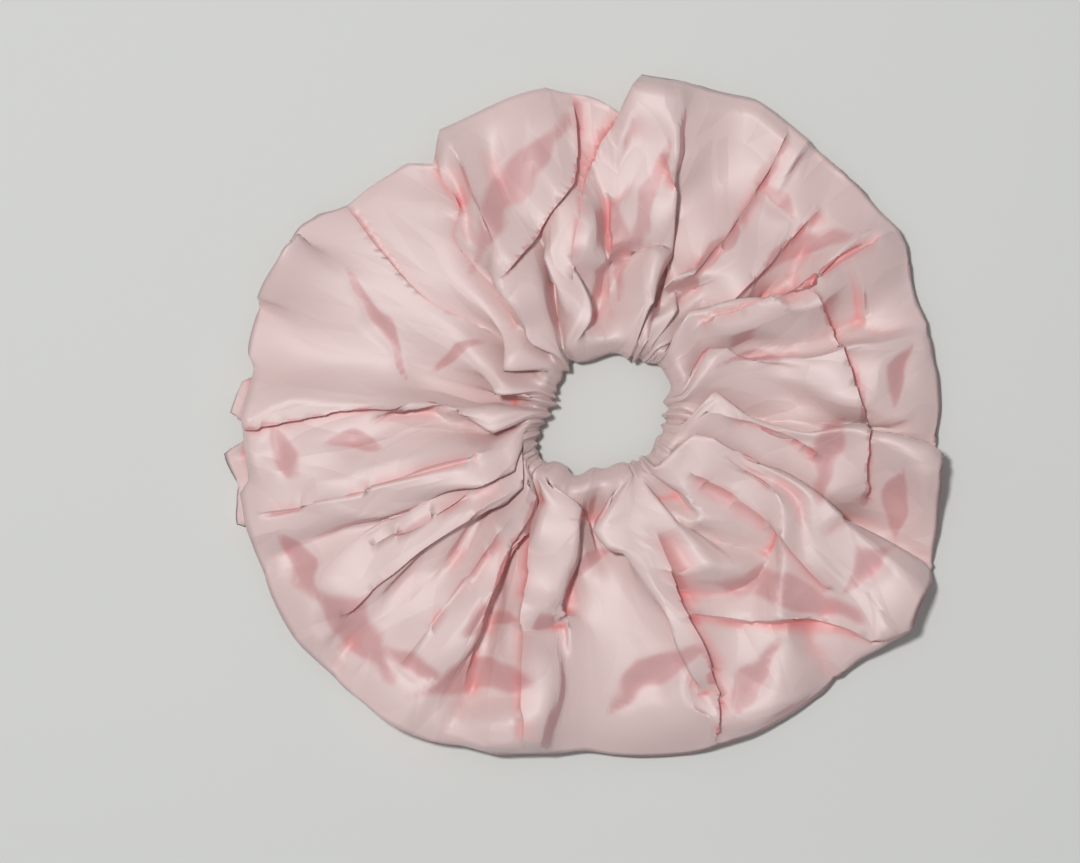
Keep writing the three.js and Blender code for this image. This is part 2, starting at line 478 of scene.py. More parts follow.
def iron(points, middle, spread, nearest, farthest, passes):
    angle, distance = plan(points)
    amount = smoothstep(math.radians(spread), math.radians(spread * 0.6), away_from(angle, middle))
    amount *= smoothstep(nearest - 0.004, nearest + 0.008, distance)
    amount *= smoothstep(farthest + 0.004, farthest - 0.008, distance)
    amount = amount[..., None]
    for _ in range(passes):
        middle_of_four = sum(np.roll(points, step, (0, 1)) for step in ((1, 0), (-1, 0), (0, 1), (0, -1))) / 4
        points = points + amount * (middle_of_four - points)
    return points


for panel in SMOOTH_PANELS:
    sleeve_points = iron(sleeve_points, *panel)
print(len(SMOOTH_PANELS), "panels ironed")

# %% [markdown]
# ## Knife folds
#
# The long sharp folds are placed one by one. Each is a line on the upper cloth, in millimetres from the middle
# of the opening. The cloth on its left, looking along the line, is lifted and pushed over the cloth on its
# right. The points nearest the line are drawn in to it first, so that the fold has one clean edge instead
# of steps.

# %% Knife fold lines
# Each fold: its lift in millimetres, how far back the lift reaches, how far it laps over, and its line.
KNIFE_FOLDS = [
    (3.0, 14, 1.6, [(-97, -3), (-75, 0.5), (-62, 2.6), (-50, 3.4)]),
    (2.6, 9, 1.4, [(-17, -22), (-19.7, -40), (-20.3, -70), (-18, -90)]),
    (3.0, 14, 1.8, [(30, -90), (29.5, -75), (28, -70), (19, -47), (12, -27)]),
    (2.4, 9, 1.2, [(20, -52), (37, -53.5), (58, -55), (80, -59)]),
    (3.0, 16, 1.6, [(72, -24), (69.5, -18), (69, -2), (62, 20), (55, 35)]),
    (2.4, 10, 1.2, [(84, 52), (77, 48), (55, 35), (35, 27), (20, 21), (14, 15)]),
    (3.4, 16, 1.8, [(-28, 37), (-21, 47), (-13, 58), (-8.6, 67), (-7.4, 88)]),
    (3.4, 12, 1.8, [(-46, 84), (-44, 67), (-38, 58), (-37, 46), (-27, 34), (-20, 21)]),
    (2.8, 12, 1.4, [(8.5, 92), (7, 84), (0, 73), (-4, 62), (-5, 50), (-9, 32)]),
    (2.2, 7, 1.0, [(17, 70), (20, 58), (18.5, 42), (15, 27)]),
    (2.0, 6, 0.9, [(2, 60), (3, 47), (1.6, 25)]),
    (1.8, 9, 0.8, [(-29, 22), (-47, 30), (-60, 44), (-70, 58)]),
    (1.6, 6, 0.8, [(-96, -25), (-70, -19), (-45, -12), (-20, -7)]),
    (1.4, 5, 0.7, [(-62, -35), (-45, -25), (-20, -10)]),
    (1.8, 7, 0.8, [(-74, -56), (-55, -40), (-36, -26), (-17, -14)]),
    (1.5, 6, 0.7, [(-56, -68), (-42, -48), (-30, -33), (-17, -16)]),
    (1.8, 6, 0.9, [(-38, -74), (-31, -52), (-24, -34), (-16, -18)]),
    (1.6, 6, 0.8, [(20, 34), (35, 52), (44, 66), (50, 80)]),
    (1.5, 6, 0.7, [(28, 27), (46, 44), (60, 58)]),
    (1.6, 6, 0.8, [(24, 2), (44, -2), (60, -12)]),
    (1.8, 8, 0.9, [(22, -14), (40, -24), (52, -37), (60, -46)]),
]
print(len(KNIFE_FOLDS), "knife folds")

# %% [markdown]
# Each line becomes a flowing curve, and every point of the cloth finds its nearest place on it. From that
# come the side that the point is on, how far it is from the fold and how far along it.

# %% Finding the way along a fold
def smooth_path(corners, count=40):
    """A flowing line through the corners."""
    corners = np.array(corners, float)
    corners = np.vstack([2 * corners[0] - corners[1], corners, 2 * corners[-1] - corners[-2]])
    line = []
    for place in np.linspace(0, len(corners) - 3 - 1e-6, count):
        first, t = int(place), place % 1
        p0, p1, p2, p3 = corners[first : first + 4]
        bend = 2 * p0 - 5 * p1 + 4 * p2 - p3
        twist = 3 * (p1 - p2) + p3 - p0
        line.append(p1 + t / 2 * (p2 - p0 + t * (bend + t * twist)))
    return np.array(line) / 1000


def beside(points, line):
    """Each point's distance to the left of the line, the direction to the left there, and how far along it is."""
    nearest = np.full(points.shape[:2], np.inf)
    signed, along = np.zeros(points.shape[:2]), np.zeros(points.shape[:2])
    left = np.zeros(points.shape[:2] + (2,))
    for number, (start, end) in enumerate(zip(line[:-1], line[1:])):
        run = end - start
        length = np.hypot(*run)
        across = np.array([-run[1], run[0]]) / length
        share = np.clip(((points[..., :2] - start) @ run) / length**2, 0, 1)
        offset = points[..., :2] - start - share[..., None] * run
        gap = np.hypot(offset[..., 0], offset[..., 1])
        closer = gap < nearest
        side = np.where(offset @ across >= 0, 1.0, -1.0)
        nearest = np.where(closer, gap, nearest)
        signed = np.where(closer, gap * side, signed)
        along = np.where(closer, (number + share) / (len(line) - 1), along)
        left = np.where(closer[..., None], across, left)
    return signed, left, along


signed, _, _ = beside(sleeve_points, smooth_path(KNIFE_FOLDS[0][-1]))
print(f"first fold: the cloth runs from {signed.min() * 1000:.0f} to {signed.max() * 1000:.0f} mm beside it")

# %% [markdown]
# The fold itself: the left side laps over, the right side is tucked under, and both fade out towards the
# two ends. `creased` remembers the points on the fold's edge, because the mesh is cut along them later.

# %% Knife folds
creased = np.zeros((FINE_COLUMNS, FINE_ROWS), bool)
LAP_FADE, TUCK_FADE, PRESS_FADE = 0.004, 0.0025, 0.003


def snapped(signed, allowed):
    """The points to draw onto the line: of each two neighbours that it parts, the nearer one."""
    chosen = np.zeros(signed.shape, bool)
    for axis in (0, 1):
        other = np.roll(signed, -1, axis)
        parted = ((signed >= 0) != (other >= 0)) & (np.abs(signed) + np.abs(other) < 0.005)
        nearer = np.abs(signed) <= np.abs(other)
        chosen |= parted & nearer
        chosen |= np.roll(parted & ~nearer, 1, axis)
    return chosen & allowed


def knife_fold(points, lift, back, lap, corners):
    signed, left, along = beside(points, smooth_path(corners))
    on_line = snapped(signed, (along > 0) & (along < 1) & (upper_side > 0)[None, :])
    creased[on_line] = True
    signed_now = np.where(on_line, 0, signed)
    height = smoothstep(0, 0.12, along) * smoothstep(1, 0.88, along) * upper_side[None, :]
    over = signed_now >= 0
    lap_over = -np.exp(-signed_now / LAP_FADE)
    tuck_under = 0.5 * np.exp(np.minimum(signed_now, 0) / TUCK_FADE)
    slide = signed_now - signed + np.where(over, lap_over, tuck_under) * height * lap / 1000
    folded = points.copy()
    folded[..., :2] += left * slide[..., None]
    raised = np.exp(-((signed_now / (back / 1000)) ** 2))
    pressed = -0.25 * np.exp(-((signed_now / PRESS_FADE) ** 2))
    folded[..., 2] += np.where(over, raised, pressed) * height * lift / 1000
    return folded


for fold in KNIFE_FOLDS:
    sleeve_points = knife_fold(sleeve_points, *fold)
print(int(creased.sum()), "points lie on the edges of folds")

# %% [markdown]
# ## The under-layer
#
# On the left the lower cloth slips out past the upper one and shows as a narrow tongue.

# %% Under-layer
TONGUE_ROWS = 10


def slip_out(points, direction, spread, distance):
    """Pushes the lower cloth out past the outer edge, and lays it on the table there."""
    angle, out = plan(points)
    amount = smoothstep(math.radians(spread), math.radians(spread * 0.6), away_from(angle, direction))
    edge_row = soften(out.argmax(1).astype(float), 8)
    row = np.arange(FINE_ROWS)[None, :] - edge_row[:, None]
    stops = [0, 1, TONGUE_ROWS * 0.6, TONGUE_ROWS, TONGUE_ROWS * 2.4]
    push = np.interp(row, stops, [0, -0.06, 1, 0.9, 0])
    flat = np.interp(row, stops, [0, 0.75, 0.8, 0.9, 0])
    slipped = points.copy()
    slipped[..., :2] *= (1 + amount * push * distance / out)[..., None]
    slipped[..., 2] *= 1 - amount * flat
    return slipped


sleeve_points = fit_outline(sleeve_points)
for direction, spread, distance in ((191, 8.5, 0.010), (177, 4.5, 0.007), (238, 18, 0.005)):
    sleeve_points = slip_out(sleeve_points, direction, spread, distance)
print(f"the cloth now reaches {plan(sleeve_points)[1].max() * 1000:.1f} mm")

# %% [markdown]
# ## Crumples
#
# Between the folds satin keeps a memory of every hand that squeezed it: small flat facets that meet in
# crisp ridges. They are made as pits, each with a flat-sided funnel about it. Where two funnels meet there
# is a ridge. The pits are placed on the flat cloth and not on the finished ring, so they crowd together
# where the cloth does.

# %% Crumples
# The smooth panels stay calm. Each has the direction of its middle, and half its spread.
CALM_PANELS = [(152, 27), (274, 16)]
sleeve_angle, _ = plan(sleeve_points)
calm_cloth = np.zeros(sleeve_angle.shape)
for middle, spread in CALM_PANELS:
    calm = smoothstep(math.radians(spread), math.radians(spread * 0.7), away_from(sleeve_angle, middle))
    calm_cloth = np.maximum(calm_cloth, calm)


def wrapped(offset, size):
    """The shortest way between two places on cloth that joins up with itself."""
    return (offset + size / 2) % size - size / 2


def crumple(points, pits, stretch, slope, seed):
    """Lifts the cloth between pits. stretch draws the facets out across the ring, slope is their steepness."""
    random = np.random.default_rng(seed)
    along, across = np.meshgrid(
        np.arange(FINE_COLUMNS) / FINE_COLUMNS * CLOTH_LENGTH, fine_share * CLOTH_WIDTH, indexing="ij"
    )
    height = np.full(along.shape, np.inf)
    for u, v, turn, keen in random.random((pits, 4)):
        du = wrapped(along - u * CLOTH_LENGTH, CLOTH_LENGTH)
        dv = wrapped(across - v * CLOTH_WIDTH, CLOTH_WIDTH) / stretch
        a = du * math.cos(turn * math.pi) + dv * math.sin(turn * math.pi)
        b = dv * math.cos(turn * math.pi) - du * math.sin(turn * math.pi)
        height = np.minimum(height, np.maximum(np.abs(a), np.abs(b) * 0.7) * (0.6 + keen))
    height -= height.mean()
    amount = smoothstep(0.07, 0.16, fine_share) * smoothstep(0.52, 0.47, fine_share) * (1 - 0.85 * calm_cloth)
    return points + outward_total(points) / 4 * (height * slope * amount)[..., None]


for pits, stretch, slope, seed in ((150, 2.0, 0.34, 11), (420, 1.7, 0.24, 5)):
    sleeve_points = crumple(sleeve_points, pits, stretch, slope, seed)
sleeve_points += away_from_casing * (facet(sleeve_points, 14, 0.16) - sleeve_points)
print(f"crumpled, highest point {sleeve_points[..., 2].max() * 1000:.1f} mm")

# %% [markdown]
# ## Dents
#
# A thumb leaves a long dent with flat sides. Each is placed one by one, like a fold. Its far half turns away
# from the light, so a mask keeps how far inside that half each point is, and the satin is painted darker there,
# as painted shade. A few slow ripples keep the dents from looking stamped.

# %% Dents
# Each dent: its middle in millimetres, half its length, half its width, the direction of its length, its
# depth.
DENTS = [
    ((-70, -57), 18, 9, -48, 2.2), ((-34, -73), 17, 8, 8, 2.0), ((-52, -67), 12, 6, -25, 1.4),
    ((-87, -10), 8, 6, -70, 1.4), ((-68, -8), 8, 5, 0, 1.2), ((-30, -56), 8, 6, 20, 1.3),
    ((13, -71), 15, 7, 35, 1.8), ((49, -50), 24, 7.5, -15, 1.4), ((61, -12), 12, 7, 75, 1.6),
    ((47, 56), 9, 4.5, -45, 1.4), ((55, 45), 13, 6, 20, 1.6), ((-22, 60), 24, 9, 58, 0.8),
    ((-61, 25), 16, 4, -60, 1.2), ((-38, 17), 9, 3, 30, 0.8), ((41, -71), 13, 6, 60, 1.6),
    ((14, 60), 15, 5, 75, 0.6), ((72, -40), 10, 6, 40, 1.4), ((80, 12), 9, 5, 70, 1.2),
    ((-3, -40), 9, 5, 30, 1.0),
    ((-82, -40), 10, 5, -60, 1.4), ((2, 46), 16, 6, -82, 0.6), ((38, 14), 9, 3.5, 10, 0.9),
    ((-2, -25), 9, 5, 20, 0.8), ((80, -22), 12, 5, 80, 1.2), ((31, 43), 12, 4, 50, 1.0),
]
RIPPLE_MM = 0.8
dent_shade = np.full(sleeve_points.shape[:2], -1.0)


def ripples(x, y, seed, count=26):
    """Smooth unevenness over the ring, about 1 at most: many waves, 7 to 26 mm long, laid across each other."""
    random = np.random.default_rng(seed)
    total = np.zeros(x.shape)
    for direction, length, start in random.random((count, 3)):
        turn, wave = direction * TURN, TURN / (0.007 + 0.019 * length)
        total += np.sin((x * math.cos(turn) + y * math.sin(turn)) * wave + start * TURN)
    return total / math.sqrt(count)


def dent(points, middle, length, width, direction, depth):
    """Presses a four-sided dent into the upper cloth, and says how far inside its far half each point is."""
    turn = math.radians(direction)
    x, y = points[..., 0], points[..., 1]
    offset = points[..., :2] * 1000 - np.array(middle)
    offset += RIPPLE_MM * np.stack([ripples(x, y, 21), ripples(x, y, 22)], -1)
    along = (offset[..., 0] * math.cos(turn) + offset[..., 1] * math.sin(turn)) / length
    across = (offset[..., 1] * math.cos(turn) - offset[..., 0] * math.sin(turn)) / width
    shape = np.clip(1 - np.abs(along) - np.abs(across), 0, 1) * upper_side[None, :]
    pressed = points.copy()
    pressed[..., 2] -= shape * depth / 1000
    # Painted shade: how far inside the far half, which turns away from the light, sets how much darker the satin
    # is painted.
    inside = np.minimum(1 - np.abs(along) ** 1.15 - np.abs(across) ** 1.15, (across + 0.12) * 1.5)
    inside += 0.13 * ripples(x, y, 23)
    return pressed, np.where(upper_side[None, :] > 0.5, inside, -1)


for place in DENTS:
    sleeve_points, inside = dent(sleeve_points, *place)
    dent_shade = np.maximum(dent_shade, inside)
print(len(DENTS), "dents,", int((dent_shade > 0).sum()), "points inside one")

# %% [markdown]
# ## Over the elastic, and on the table
#
# Two last touches. The upper cloth puffs over the edge of the elastic, so that the band never shows
# through. The lower cloth lies flatter than the simulation left it, clear of the folds above it.

# %% Puff and lower cloth
ELASTIC_PUFF = 0.0008
SINK = 0.6
over_elastic = smoothstep(0.015, 0.03, fine_share) * smoothstep(0.07, 0.045, fine_share)
sleeve_points[..., 2] += ELASTIC_PUFF * over_elastic[None, :]
sunk = smoothstep(0.51, 0.57, fine_share) * smoothstep(0.97, 0.92, fine_share)
sleeve_points[..., 2] *= (1 - SINK * sunk)[None, :]
sleeve_points[..., 2] = np.maximum(sleeve_points[..., 2], CLOTH_THICKNESS)
sleeve_points[..., 2] += CLOTH_THICKNESS - sleeve_points[..., 2].min()
print("sleeve", sleeve_points.reshape(-1, 3).min(0).round(4), sleeve_points.reshape(-1, 3).max(0).round(4))

# %% [markdown]
# ## Masks for the satin
#
# Two masks hold painted shade: the satin is painted redder deep in its creases, and darker where it turns
# away from the light. Both are measured from the finished surface and kept as vertex attributes, so they lie
# on the cloth in every view. A facet counts as turned away when it faces away more than the cloth round it does.

# %% Masks
def outward_of(points):
    total = outward_total(points)
    return total / np.maximum(np.linalg.norm(total, axis=-1, keepdims=True), 1e-12)


def hollows(points, stride):
    """How deep each point lies below the middle of its neighbours, along the outward direction, in metres."""
    steps = ((stride, 0), (-stride, 0), (0, stride), (0, -stride))
    neighbours = sum(np.roll(points, step, (0, 1)) for step in steps)
    return ((neighbours / 4 - points) * outward_of(points)).sum(-1)


CREASE_BEGINS, CREASE_SPAN = 0.00042, 0.0010  # metres of depth
TURNED_AWAY = (0.72, -0.52, -0.46)
TILT_BEGINS, TILT_ENDS = 0.80, 0.94  # shares of the upper cloth that are less tilted
# Painted shade: points that lie deep in a crease are painted redder.
crease_depth = hollows(sleeve_points, 1) * 1.4 + hollows(sleeve_points, 2) * 0.6
crease_shade = soften(np.clip((crease_depth - CREASE_BEGINS) / CREASE_SPAN, 0, 1), 1)
outward = outward_of(sleeve_points)
broad = outward
for _ in range(40):
    broad = soften(broad, 1)
    broad = (np.roll(broad, 1, 1) + 2 * broad + np.roll(broad, -1, 1)) / 4
# Painted shade: facets that face away from the light, more than the cloth round them, are painted darker.
turned_off = (outward - 0.6 * broad) @ np.array(TURNED_AWAY)
on_top = (fine_share > 0.1) & (fine_share < 0.46)
begins, ends = np.quantile(turned_off[:, on_top], (TILT_BEGINS, TILT_ENDS))
tilt_shade = np.clip((turned_off - begins) / (ends - begins), 0, 1) * smoothstep(0.02, 0.06, fine_share)[None, :]
# Painted shade of the dents' far halves joins the shade of the facets turned away.
tilt_shade = np.maximum(tilt_shade, np.clip(0.5 + 0.9 * dent_shade, 0, 1))
masks = {"crease_shade": crease_shade, "tilt_shade": tilt_shade, "crumpled": 1 - 0.75 * calm_cloth}
print({name: round(float(values.mean()), 3) for name, values in masks.items()})

# %% [markdown]
# ## From points to cloth
#
# Each grid face is a quad, and Blender may cut a bent quad along either diagonal. Beside a crease the wrong
# one gives teeth, so those faces are cut here, along the crease. The UV map is the flat cloth in metres,
# which keeps the weave true wherever the cloth goes.

# %% Mesh helpers
def mesh_of(name, points, faces, uv=None):
    mesh = bpy.data.meshes.new(name)
    mesh.from_pydata(points.reshape(-1, 3).tolist(), [], faces)
    if uv is not None:
        mesh.uv_layers.new(name="UVMap").data.foreach_set("uv", uv.astype(np.float32).ravel())
    mesh.shade_smooth()
    thing = bpy.data.objects.new(name, mesh)
    bpy.context.scene.collection.objects.link(thing)
    return thing


def grid_uv(columns, rows, length, width):
    """Each face corner's place on the flat cloth, in metres, so that the weave runs true."""
    column, row = np.meshgrid(np.arange(columns), np.arange(rows), indexing="ij")
    corners = [(column + i, row + j) for i, j in ((0, 0), (0, 1), (1, 1), (1, 0))]
    corners = np.stack([np.stack([c / columns * length, r / rows * width], -1) for c, r in corners], 2)
    return corners.reshape(-1, 4, 2)


def split_along_creases(faces, uv, creased):
    """Cuts each face that touches a crease into two triangles, with the cut along the crease."""
    on_crease = creased.ravel()[faces]
    touched = on_crease.any(1)
    second = on_crease[:, 1] & on_crease[:, 3]
    pieces, places = [*faces[~touched].tolist()], [uv[~touched].reshape(-1, 2)]
    first_cut, second_cut = ((0, 1, 2), (0, 2, 3)), ((1, 2, 3), (1, 3, 0))
    for chosen, cuts in ((touched & ~second, first_cut), (touched & second, second_cut)):
        for cut in cuts:
            pieces += faces[chosen][:, cut].tolist()
            places.append(uv[chosen][:, cut].reshape(-1, 2))
    return pieces, np.concatenate(places)


def apply_modifiers(thing):
    """Turns what the modifiers show into the mesh itself."""
    shown = thing.evaluated_get(bpy.context.evaluated_depsgraph_get())
    finished = bpy.data.meshes.new_from_object(shown)
    thing.modifiers.clear()
    thing.data = finished
    return thing


sleeve_faces, sleeve_uv = split_along_creases(
    grid_faces(FINE_COLUMNS, FINE_ROWS), grid_uv(FINE_COLUMNS, FINE_ROWS, CLOTH_LENGTH, CLOTH_WIDTH), creased
)
print(len(sleeve_faces), "faces for one ply")

# %% [markdown]
# ## The sleeve
#
# The mesh takes its masks, and the edges of the folds are marked sharp so that they shade crisply. Solidify
# gives the cloth its thickness, inwards, and is applied so that what shows is the mesh itself.

# %% The sleeve mesh
sleeve_points[..., :2] += np.array(OPENING_MIDDLE[:2])
sleeve = mesh_of("satin_sleeve", sleeve_points, sleeve_faces, sleeve_uv)
for name, values in masks.items():
    mask = sleeve.data.attributes.new(name, "FLOAT", "POINT")
    mask.data.foreach_set("value", values.astype(np.float32).ravel())
edges = np.empty(len(sleeve.data.edges) * 2, np.int32)
sleeve.data.edges.foreach_get("vertices", edges)
sharp = creased.ravel()[edges.reshape(-1, 2)].all(1)
sleeve.data.attributes.new("sharp_edge", "BOOLEAN", "EDGE").data.foreach_set("value", sharp)

thickness = sleeve.modifiers.new("Thickness", "SOLIDIFY")
thickness.thickness = CLOTH_THICKNESS
thickness.offset = -1
apply_modifiers(sleeve)
print("sleeve faces", len(sleeve.data.polygons))

# %% [markdown]
# ## Building materials
#
# A material is a tree of nodes, and a node's sockets take either a plain value or another node's output.
# These helpers let both be written the same way, so that each material reads as a short list of what feeds
# what.

# %% Node helpers
def feed(tree, value, socket):
    """Gives a socket a plain value, or wires another node's output into it."""
    if isinstance(value, bpy.types.NodeSocket):
        tree.links.new(value, socket)
    else:
        socket.default_value = value


def node(tree, kind, by_place=None, **by_name):
    """Adds a node. Names are properties or sockets. by_place is for sockets that are known by their number."""
    new = tree.nodes.new(kind)
    for name, value in by_name.items():
        if hasattr(new, name):
            setattr(new, name, value)
        else:
            feed(tree, value, new.inputs[name.replace("_", " ")])
    for place, value in (by_place or {}).items():
        feed(tree, value, new.inputs[place])
    return new


def times(tree, first, second):
    return node(tree, "ShaderNodeMath", {0: first, 1: second}, operation="MULTIPLY").outputs["Value"]


def mixed(tree, mask, first, second):
    """One colour where the mask is 0, and another where it is 1."""
    return node(tree, "ShaderNodeMix", {0: mask, 6: first, 7: second}, data_type="RGBA").outputs[2]


def bump(tree, strength, metres, **by_name):
    return node(tree, "ShaderNodeBump", Strength=strength, Distance=metres, **by_name).outputs["Normal"]


def mask_of(tree, name):
    return node(tree, "ShaderNodeAttribute", attribute_name=name).outputs["Fac"]


def new_material(name):
    material = bpy.data.materials.new(name)
    material.use_nodes = True
    return material, material.node_tree


def surface(tree, **by_name):
    """Sets or wires the sockets of a material's Principled BSDF."""
    for name, value in by_name.items():
        feed(tree, value, tree.nodes["Principled BSDF"].inputs[name.replace("_", " ")])


print("helpers ready")

# %% [markdown]
# ## The weave
#
# Cloth is threads over and under. Two Wave textures at right angles, multiplied, give a small bump at each
# crossing. They read the UV map, which is the flat cloth in metres, so the threads follow every fold.

# %% Weave group
ONE_BAND = 0.318  # the Wave texture's Scale at which a band is about one unit wide


def weave_group():
    """Threads over and under, as a height."""
    group = bpy.data.node_groups.new("Woven cloth", "ShaderNodeTree")
    fineness = group.interface.new_socket("Threads per metre", in_out="INPUT", socket_type="NodeSocketFloat")
    fineness.default_value = 2600
    group.interface.new_socket("Height", in_out="OUTPUT", socket_type="NodeSocketFloat")
    given = node(group, "NodeGroupInput").outputs
    flat_place = node(group, "ShaderNodeUVMap", uv_map="UVMap").outputs["UV"]
    threads = given["Threads per metre"]
    scaled = node(group, "ShaderNodeVectorMath", {0: flat_place}, operation="SCALE", Scale=threads)
    along, across = (
        node(
            group, "ShaderNodeTexWave", wave_type="BANDS", bands_direction=way,
            Scale=ONE_BAND, Distortion=0.0, Vector=scaled.outputs["Vector"],
        ).outputs["Fac"]
        for way in "XY"
    )
    node(group, "NodeGroupOutput", Height=times(group, along, across))
    return group


WEAVE = weave_group()
print("weave", WEAVE.name)

# %% [markdown]
# ## Satin
#
# Satin is a dull thread with a shiny face. Its own colour is a dusty rose, and what looks like pale pink is
# that rose with a broad whitish shine over it. So the shader is one plain Principled BSDF with a middling
# roughness, and the shapes of the cloth do the rest. The nodes add the fine things: slightly uneven dye,
# painted shade that darkens the facets turned from the light and reddens the creases, a painted glow in the
# creases that stands in for light coming through thin cloth, small crumples and the weave.

# %% Satin material
ROSE = (0.68, 0.49, 0.465, 1)
PALER_ROSE = (ROSE[0] * 1.03, ROSE[1] * 1.08, ROSE[2] * 1.08, 1)
# Painted shade: the darker rose of facets that turn away from the light.
TILT_SHADE_ROSE = (0.57, 0.265, 0.26, 1)
# Painted shade: the red deep in the creases.
CREASE_SHADE_ROSE = (0.60, 0.12, 0.12, 1)
# Painted glow: an emission colour in the creases that stands in for light coming through the thin cloth.
PAINTED_CREASE_GLOW = (0.13, 0.035, 0.035, 1)
NO_GLOW = (0, 0, 0, 1)
CRUMPLE_HEIGHT, WEAVE_HEIGHT = 0.0012, 0.0001


def satin_colour(tree):
    """Rose, a little uneven, with painted shade: darker on the facets turned from the light and redder in the
    creases.
    """
    here = node(tree, "ShaderNodeTexCoord").outputs["Object"]
    uneven_dye = node(tree, "ShaderNodeTexNoise", Scale=38.0, Detail=2.0, Vector=here).outputs["Fac"]
    tilt_shade_amount = node(
        tree, "ShaderNodeMapRange", interpolation_type="SMOOTHSTEP",
        From_Min=0.36, From_Max=0.70, To_Max=0.74, Value=mask_of(tree, "tilt_shade"),
    ).outputs["Result"]
    rose = mixed(tree, uneven_dye, ROSE, PALER_ROSE)
    return mixed(tree, mask_of(tree, "crease_shade"), mixed(tree, tilt_shade_amount, rose, TILT_SHADE_ROSE), CREASE_SHADE_ROSE)


def satin_relief(tree):
    """Small crumples, drawn out across the ring, with the weave on top of them."""
    flat_place = node(tree, "ShaderNodeUVMap", uv_map="UVMap").outputs["UV"]
    drawn_out = node(tree, "ShaderNodeMapping", Scale=(1, 0.5, 1), Vector=flat_place).outputs["Vector"]
    warp = node(tree, "ShaderNodeTexNoise", Scale=60.0, Detail=2.0, Vector=drawn_out).outputs["Color"]
    warped = node(
        tree, "ShaderNodeVectorMath", {0: warp, 1: (0.006, 0.006, 0), 2: drawn_out}, operation="MULTIPLY_ADD"
    ).outputs["Vector"]
    pits = node(
        tree, "ShaderNodeTexVoronoi", distance="CHEBYCHEV", voronoi_dimensions="2D", Scale=80.0, Vector=warped
    ).outputs["Distance"]
    crumples = times(tree, pits, mask_of(tree, "crumpled"))
    crumpled = bump(tree, 1.0, CRUMPLE_HEIGHT, Height=crumples)
    threads = node(tree, "ShaderNodeGroup", node_tree=WEAVE).outputs["Height"]
    return bump(tree, 0.08, WEAVE_HEIGHT, Height=threads, Normal=crumpled)


def satin():
    material, tree = new_material("satin")
    surface(tree, Roughness=0.53, IOR=1.8, Sheen_Weight=0.15, Sheen_Roughness=0.4, Emission_Strength=1.0)
    # Painted glow: the creases give off a little red light of their own.
    crease_glow = mixed(tree, mask_of(tree, "crease_shade"), NO_GLOW, PAINTED_CREASE_GLOW)
    surface(tree, Base_Color=satin_colour(tree), Emission_Color=crease_glow, Normal=satin_relief(tree))
    return material


sleeve.data.materials.append(satin())
print("satin has", len(sleeve.data.materials[0].node_tree.nodes), "nodes")

# %% [markdown]
# ## The elastic
#
# A flat knitted band runs round inside the casing. It stands on edge, leaning outwards as the casing does,
# and its two ends lap by about 10 mm. It is swept by hand: a thin rectangle with rounded edges, carried
# round the opening's line. The second end steps outwards to lie over the first.

# %% Elastic band
ELASTIC_WIDTH = 0.007
ELASTIC_THICKNESS = 0.001
ELASTIC_START = math.radians(167)
ELASTIC_LAP = math.radians(26)
LAP_STEP = 0.00115
ELASTIC_DROP = 0.0005


def beside_elastic(angle, up, inward):
    """A point given by its direction, and its distance up and inwards from the middle of the elastic."""
    radius = (opening_reach(angle) + ELASTIC_SET_BACK) / SIM_SCALE
    up = up - ELASTIC_DROP
    out = radius + up * math.sin(ELASTIC_TILT) - inward * math.cos(ELASTIC_TILT)
    z = ELASTIC_HEIGHT + up * math.cos(ELASTIC_TILT) + inward * math.sin(ELASTIC_TILT)
    middle = OPENING_MIDDLE
    return np.stack(np.broadcast_arrays(middle.x + out * np.cos(angle), middle.y + out * np.sin(angle), z), -1)


def band_profile(points=20):
    """A thin rectangle with rounded edges, as (up, inward) pairs, anticlockwise."""
    turn = (np.arange(points) + 0.5) / points * TURN
    up = np.sign(np.sin(turn)) * np.abs(np.sin(turn)) ** 0.35 * ELASTIC_WIDTH / 2
    inward = np.sign(np.cos(turn)) * np.abs(np.cos(turn)) ** 0.35 * ELASTIC_THICKNESS / 2
    return up, inward


ELASTIC_LENGTH = CLOTH_LENGTH * 0.23


def elastic_band(slices=260):
    share = np.linspace(0, 1, slices)
    angle = ELASTIC_START + share * (TURN + ELASTIC_LAP)
    outer_lap = smoothstep(0.86, 0.93, share) * LAP_STEP
    up, inward = band_profile()
    rings = beside_elastic(angle[:, None], up[None, :], inward[None, :] - outer_lap[:, None])
    count = len(up)
    sides = np.hypot(np.roll(up, -1) - up, np.roll(inward, -1) - inward)
    across = np.append(0, np.cumsum(sides))
    faces, uv = [], []
    for i in range(slices - 1):
        for j in range(count):
            following = (j + 1) % count
            here, there = i * count, (i + 1) * count
            faces.append([here + j, here + following, there + following, there + j])
            corners = ((i, j), (i, j + 1), (i + 1, j + 1), (i + 1, j))
            uv += [(share[a] * ELASTIC_LENGTH, across[b]) for a, b in corners]
    for first, order in ((0, -1), ((slices - 1) * count, 1)):
        faces.append(list(range(first, first + count))[::order])
        uv += [(0.0, across[j]) for j in range(count)][::order]
    return mesh_of("knitted_elastic", rings, faces, np.array(uv))


elastic = elastic_band()
print("elastic faces", len(elastic.data.polygons))

# %% [markdown]
# Knitted elastic has ribs that run along it, with small loops across them, in an ivory that is painted darker
# between the ribs, as painted shade in the grooves. Two Wave textures multiplied make the knit, and a fine noise
# makes its fuzz.

# %% Elastic material
IVORY_SHADED_BETWEEN_RIBS = (0.62, 0.58, 0.50, 1)
IVORY = (0.84, 0.81, 0.74, 1)


